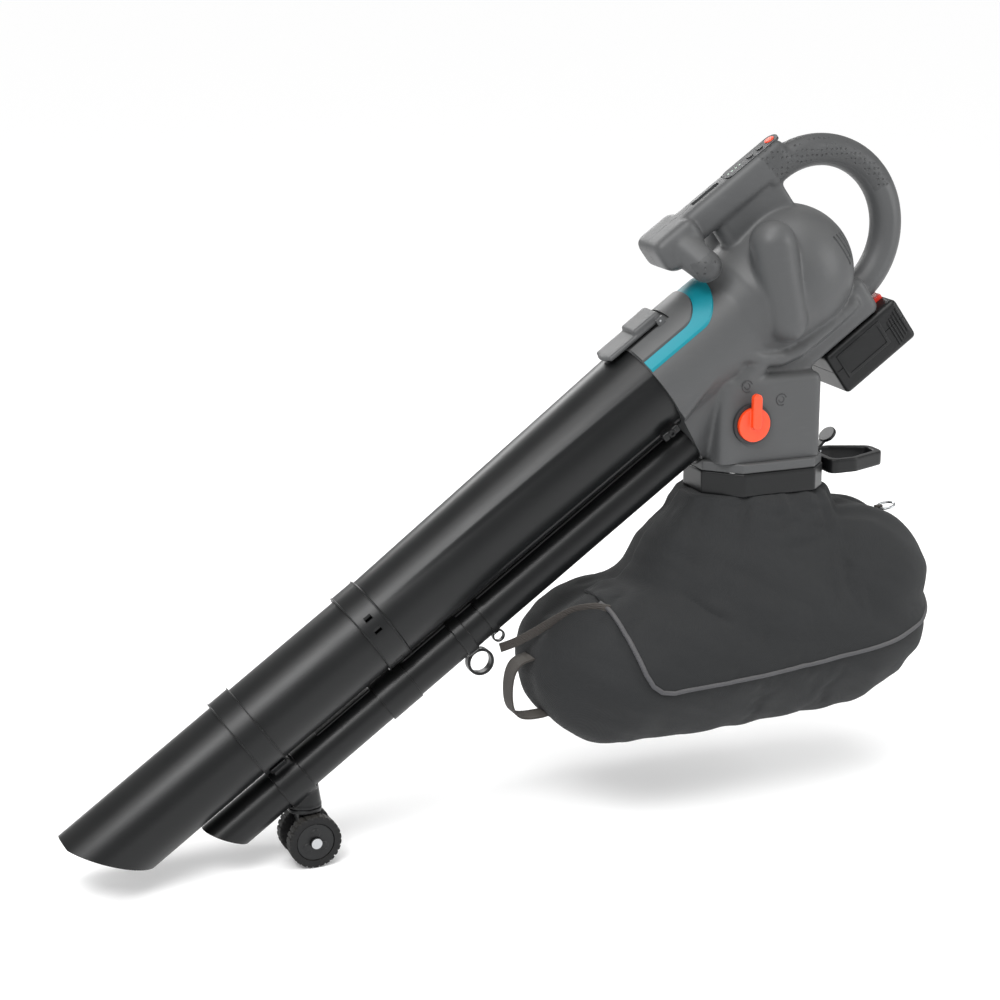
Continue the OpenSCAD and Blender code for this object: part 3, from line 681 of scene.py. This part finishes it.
def nearest_edge(p):
    best = None
    for a, b in zip(outline, outline[1:] + outline[:1]):
        t = max(0, min(1, (p - a).dot(b - a) / (b - a).length_squared))
        q = a + (b - a) * t
        if best is None or (q - p).length < (best - p).length:
            best = q
    return best


def on_flap(face):
    spot = face.calc_center_median()
    return spot.y < SEAM_Y and inside(Vector((spot.x, spot.z)))


# %% Flap: cut from the bag's own faces
flap = copy_of(bag, "flap")
unhook(flap)
mesh = bmesh.new()
mesh.from_mesh(flap.data)
mesh.normal_update()
gone = [f for f in mesh.faces if not on_flap(f)]
bmesh.ops.delete(mesh, geom=gone, context="FACES")
mesh.normal_update()
out_of = {v: v.normal.copy() for v in mesh.verts}
for vert in mesh.verts:
    spot = Vector((vert.co.x, vert.co.z))
    if vert.is_boundary:
        edge = nearest_edge(spot)
        if abs(vert.co.y - SEAM_Y) < NEAR_SEAM:
            vert.co.y = SEAM_Y
        elif (edge - spot).length < NEAR_EDGE:
            vert.co = on_bag(edge.x, edge.y, 0.0)
    fade = min(1.0, max(0.0, (0.398 - vert.co.z) / 0.04))
    vert.co += out_of[vert] * (0.0004 + 0.0022 * fade)
mesh.to_mesh(flap.data)
mesh.free()
flap_area = sum(p.area for p in flap.data.polygons)
apply(flap, "SOLIDIFY", thickness=0.0014, offset=0.0)
done(flap, "bag_flap_cloth", "bag_fabric", "bag", ["bag_flap"], "flap_fabric", crease=180)
print("flap area in square metres", round(flap_area, 4))

# %% Piping round the flap
fine_edge = []
for a, b in zip(FLAP, FLAP[1:]):
    for k in range(6):
        fine_edge.append([(low + (high - low) * k / 6) * MM for low, high in zip(a, b)])
route = [on_bag(x, z, 0.0026) / MM for x, z in fine_edge]
route = [b for a, b, c in zip(route, route[1:], route[2:]) if (b - (a + c) / 2).length < 4]
piping = hose(route, 3.0, "piping")
done(piping, "flap_piping", "bag_fabric", "bag", (), "piping", crease=180)

# %% [markdown]
# ## Webbing
# A flat strap holds the bag's front shoulder to an eye on the blow tube, and a short loop of
# the same webbing hangs at the front.

# %% Strap and loop of webbing
def ribbon(points, width, thick, name):
    line = []
    for i, p in enumerate(points):
        a, b = Vector(points[max(0, i - 1)]), Vector(points[min(len(points) - 1, i + 1)])
        way = (b - a).normalized()
        side = way.cross(Vector((0, 1, 0.0))).normalized()
        line.append((Vector(p) - side * width / 2, Vector(p) + side * width / 2))
    data = bpy.data.meshes.new(name)
    verts = [tuple(v * MM) for pair in line for v in pair]
    data.from_pydata(verts, [], [(2 * i, 2 * i + 1, 2 * i + 3, 2 * i + 2) for i in range(len(line) - 1)])
    made = bpy.data.objects.new(name, data)
    bpy.context.scene.collection.objects.link(made)
    apply(made, "SOLIDIFY", thickness=thick * MM, offset=0.0)
    apply(made, "BEVEL", width=thick * MM * 0.3, segments=2)
    return made


def over_bag(x, y, proud=1.4):
    hit, normal, _, _ = skin_tree.ray_cast(Vector((x, y, 700)) * MM, Vector((0, 0, -1)))
    return (hit + normal * proud * MM) / MM


EYE_X, EYE_Z = -22, 236
FOOT_X, FOOT_Y = 60, -34
SAG = 9
landing = over_bag(FOOT_X, FOOT_Y)
strap_run = []
for i in range(13):
    t = i / 12
    drop = SAG * math.sin(math.pi * t) * (1 - t)
    strap_run.append((EYE_X + (landing.x - EYE_X) * t, landing.y * t ** 1.4,
                      EYE_Z + (landing.z - EYE_Z) * t - drop))
strap_run += [tuple(over_bag(FOOT_X + 7 * k, FOOT_Y - 6 * k)) for k in range(1, 6)]
strap = ribbon(strap_run, 12, 1.6, "webbing_strap")
done(strap, "webbing_strap", "webbing", None, ["bag_strap"], crease=30)
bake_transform(strap)
loop_run = [(40, 224), (22, 221), (6, 219), (-4, 213), (-10, 200), (-12, 182), (-11, 164), (-6, 151),
            (4, 145), (22, 144), (44, 146)]
web = bpy.data.meshes.new("web")
web.from_pydata([(x * MM, y * MM, z * MM) for x, z in loop_run for y in (-14, 14)], [],
                [(2 * i, 2 * i + 1, 2 * i + 3, 2 * i + 2) for i in range(len(loop_run) - 1)])
web_loop = bpy.data.objects.new("web", web)
bpy.context.scene.collection.objects.link(web_loop)
apply(web_loop, "SUBSURF", levels=2, render_levels=2)
apply(web_loop, "SOLIDIFY", thickness=0.0022, offset=0.0)
done(web_loop, "webbing_loop", "webbing", "bag", ["bag_web_loop"], crease=40)

# %% [markdown]
# ## The tube latch
# The latch is a thumb-sized lever that hugs the barrel and holds the tube. It is one soft
# pebble with a hollow for the thumb, pivoted at its rear end.

# %% Latch lever
lever = melt([slab((847, 930), (-20, 20), (68.9, 75.5), 3), slab((890, 930), (-19, 19), (72, 81), 3.5),
              ball((852, 0, 72), 9, (1, 2.1, 0.4)),
              rod((924, -20.5, 72.5), (924, 20.5, 72.5), 4.2)], "lever", 0.9, 14)
cut(lever, rod((924, -30, 72.5), (924, 30, 72.5), 1.7))
lay(lever)
done(lever, "latch_lever", "housing_grey", "tube_latch", ["tube_latch"], crease=45)

# %% [markdown]
# ## The suction tube under the head
# The upper tube isn't plainly round: a sharp crease leaves the trim strip and fades down the
# tube, and a flat band runs below it. The tube is a grid of rings whose radius is shaped ring
# by ring, then given its wall and its collar.

# %% Upper tube
def ring_radius(x, turn):
    t = (x - 448) / (873 - 448)
    base = 52.4 + 7.4 * max(0.0, t)
    crease = math.radians(38 - 10 * t)
    near = math.exp(-((turn - crease) / 0.05) ** 2) + math.exp(-((math.pi - turn - crease) / 0.05) ** 2)
    band = 0.5 * (math.tanh((crease - turn) / 0.03) + 1) * (1 if turn > -0.75 else 0)
    on_side = 1 if abs(turn) < 1.2 else 0
    return base + 0.5 * near * max(0.0, t) ** 0.5 - 1.3 * band * max(0.0, min(1.0, 2.2 * t)) * on_side


RING_SIDES = 160
tube = bpy.data.objects.new("upper_tube_skin", bpy.data.meshes.new("upper_tube_skin"))
bpy.context.scene.collection.objects.link(tube)
mesh = bmesh.new()
stations = [415, 415.6, 447.4, 448] + [448.6 + i * (872.4 - 448.6) / 46 for i in range(47)] + [873]
rows = []
for x in stations:
    row = []
    lift = 1 + 5 * max(0.0, (x - 448) / 425)
    for k in range(RING_SIDES):
        turn = math.pi * 2 * k / RING_SIDES
        signed = turn if turn <= math.pi else turn - 2 * math.pi
        r = 54.6 if 415.3 < x < 447.7 else (54.0 if x < 448.3 else ring_radius(x, signed))
        row.append(mesh.verts.new(Vector((x, -r * math.cos(turn), lift + r * math.sin(turn))) * MM))
    rows.append(row)
for low, high in zip(rows, rows[1:]):
    for k in range(RING_SIDES):
        after = (k + 1) % RING_SIDES
        mesh.faces.new((low[k], low[after], high[after], high[k]))
mesh.to_mesh(tube.data)
mesh.free()
merge(tube)
apply(tube, "SOLIDIFY", thickness=0.0022, offset=-1.0)
for a in (-128, -52, 20, 155):
    way = Vector((0, math.cos(math.radians(a)), math.sin(math.radians(a))))
    side = Vector((0, -way.z, way.y))
    for shift in (-9, 9):
        spot = Vector((431, 0, 1)) + way * 55 + side * shift
        cut(tube, slab((spot.x - 5, spot.x + 5), (spot.y - 3.2, spot.y + 3.2),
                       (spot.z - 3.2, spot.z + 3.2)))
lay(tube)
done(tube, "upper_tube_skin", "tube_black", ROOT, ["upper_tube"], crease=22)

# %% Collar rims and the ridge on the blow tube
rims = []
for x, r, z in ((227, 54.2, 0), (255.4, 54.4, 0), (416, 54.9, 1), (446.5, 55.1, 1)):
    ring = [math.radians(a) for a in range(0, 360, 4)]
    rims.append(hose([(x, r * math.cos(a), z + r * math.sin(a)) for a in ring], 0.8, "rim", closed=True))
collar_rims = join(rims, "collar_rims")
lay(collar_rims)
done(collar_rims, "collar_rims", "tube_black", ROOT)
ridge = melt([slab((436, 866), (-9, 9), (-60.5, -56.2), 1.5), ball((436, 0, -59), 8.5, (1, 1, 0.35)),
              slab((300, 384), (-8, 8), (-61, -57.6), 1.2)], "ridge", 1.1, 4)
lay(ridge)
done(ridge, "blow_tube_ridge", "tube_black", ROOT)
tab = melt([slab((838, 862), (-58, -48), (-40, -30), 2), rod((850, -60, -35), (850, -48, -35), 4.6)],
           "tab", 0.8, 3)
cut(tab, rod((850, -63, -35), (850, -58, -35), 2.4, sides=6))
lay(tab)
done(tab, "screw_tab", "tube_black", ROOT)

# %% [markdown]
# ## The castor wheels
# Each wheel is a rubber tyre with square lugs, and a hub with three raised bosses joined by
# spokes. One lug is made and copied round, and one function makes the wheel on either side.

# %% Wheels
axle = Vector((-268, 0, 32.5))
LUGS = 26
BOLT_CIRCLE = 11


def wheel_piece(side, name, body, node):
    middle = side * 19.5
    parts = [rod((axle.x, middle - 7.2, axle.z), (axle.x, middle + 7.2, axle.z), 29.2)]
    to_wheel = Matrix.Translation(Vector((axle.x, middle, axle.z)) * MM)
    first = slab((-3.0, 3.0), (-7.3, 7.3), (27, 32.3), 0.8)
    for k in range(LUGS):
        lug = copy_of(first, "lug")
        lug.data.transform(to_wheel @ Matrix.Rotation(math.radians(k * 360 / LUGS), 4, "Y"))
        parts.append(lug)
    bpy.data.objects.remove(first)
    tyre = melt(parts, name, 0.8, 1)
    face = side * 27.2
    cut(tyre, rod((axle.x, face - side * 3.2, axle.z), (axle.x, face + side * 2, axle.z), 23.5))
    cut(tyre, rod((axle.x, -40, axle.z), (axle.x, 40, axle.z), 4.1))
    done(tyre, name, "wheel_rubber", body, [node], crease=30)
    hub = [rod((axle.x, middle, axle.z), (axle.x, face - side * 1.6, axle.z), 22.8)]
    for k in range(3):
        a = math.radians(90 + 120 * k)
        x, z = axle.x + BOLT_CIRCLE * math.cos(a), axle.z + BOLT_CIRCLE * math.sin(a)
        hub.append(rod((x, middle, z), (x, face - side * 0.1, z), 5.2))
        hub.append(hose([(x, face - side * 2.6, z), (axle.x, face - side * 2.6, axle.z)], 2.4))
    disc = melt(hub, name + "_hub", 0.8, 2)
    cut(disc, rod((axle.x, -40, axle.z), (axle.x, 40, axle.z), 7.2))
    done(disc, name + "_hub", "button_black", body, crease=30)


wheel_piece(-1, "wheel_right_tyre", "wheel_right", "wheel_right")
wheel_piece(1, "wheel_left_tyre", "wheel_left", "wheel_left")

# %% [markdown]
# ## Battery details
# The pack is one rounded case with a parting line round it and rails on top. Each side has a
# raised frame round a blank field, and ribs near its rear corner.

# %% Battery
shell = melt([slab((1068, 1184), (-37.4, 37.4), (-164, -104.2), 6)], "battery_shell", 0.9, 6)
PARTING_Z = -130.4
parting = slab((1060, 1190), (-45, 45), (PARTING_Z, PARTING_Z + 0.9))
cut(parting, slab((1069.2, 1182.6), (-36.2, 36.2), (-180, -90)))
cut(shell, parting)
rails = join([slab((1072, 1156), (-17, 17), (-105, -98), 0.5)], "rails")
cut(shell, rails, "UNION")
cut(shell, slab((1072, 1156), (-22, 22), (-98.4, -95.3), 0.5), "UNION")
for y in (-12, -4, 4, 12):
    cut(shell, slab((1060, 1080), (y - 1, y + 1), (-101, -90)))
cut(shell, slab((1163.6, 1180.4), (-12.4, 12.4), (-112, -90)))
cut(shell, slab((1161, 1182), (-14.6, 14.6), (-116, -107)))
lay(shell)
done(shell, "battery_shell", "battery_black", "battery", ["battery_base", "battery_top"], crease=30)
pack = []
for side in (-1, 1):
    y = side * 37.2
    plate = slab((1080, 1150), sorted((y, y + side * 1.6)), (-146, -112), 0.7)
    cut(plate, slab((1085, 1145), sorted((y + side * 0.8, y + side * 3)), (-142, -116)))
    pack.append(plate)
    for k in range(5):
        pack.append(slab((1158 + 4.4 * k, 1160.2 + 4.4 * k), sorted((y, y + side * 1.5)),
                         (-158 + 2 * k, -122 + 2 * k), 0.5))
trim_of_pack = join(pack, "battery_side_frames")
lay(trim_of_pack)
done(trim_of_pack, "battery_side_frames", "battery_black", "battery", crease=30)

# %% [markdown]
# ## The knob's seat and its signs
# The mode knob sits in a round seat. Two small generic signs beside it show blowing and
# vacuuming: a swirl of air drawn as open rings.

# %% Knob signs and the ring round the power button
def swirl(x, z, r, turns, thick):
    angles = [math.radians(a) for a in turns]
    return hose([(x + r * math.cos(a), -54.15, z + r * math.sin(a)) for a in angles], thick)


signs = []
for x, z, r in ((277, 546, 7), (324, 526, 7)):
    signs.append(swirl(x, z, r, range(20, 300, 12), 0.55))
    signs.append(swirl(x, z, 0.5 * r, range(180, 440, 14), 0.5))
mode_signs = join(signs, "mode_signs")
done(mode_signs, "mode_signs", "housing_grey", ROOT, (), "panel_dark")
turns = [math.radians(a) for a in range(0, 360, 10)]
glow = hose([(1167 + 5.7 * math.cos(a), 5.7 * math.sin(a), 150.5) for a in turns], 0.7, closed=True)
lay(glow)
done(glow, "power_ring", "signal_orange", ROOT)

# %% [markdown]
# ## Rounded edges on the smaller mouldings
# A measured part has sharp corners, and a real moulding never does. A copy of each is merged,
# remeshed finely and smoothed a little, so its edges catch the light.

# %% Soften the small mouldings
softened("port_flange", "port_flange_soft", "housing_grey", ROOT, 1.2, 5)
softened("bag_collar", "bag_collar_soft", slot_of["bag_collar"], "bag", 1.2, 6)
softened("bag_ring_handle", "ring_handle_soft", slot_of["bag_ring_handle"], "bag", 1.2, 14)
softened("bag_thumb_latch", "thumb_latch_soft", slot_of["bag_thumb_latch"], "bag_thumb_latch", 0.7, 3)
softened("tube_bridge", "tube_bridge_soft", slot_of["tube_bridge"], ROOT, 1.0, 3)
softened("wheel_fork", "castor_fork_soft", slot_of["wheel_fork"], "castor", 0.9, 2)
softened("shoulder_strap_eye", "shoulder_eye_soft", slot_of["shoulder_strap_eye"], ROOT, 0.8, 3)
softened("mode_knob", "mode_knob_soft", slot_of["mode_knob"], "mode_valve", 0.7, 3)
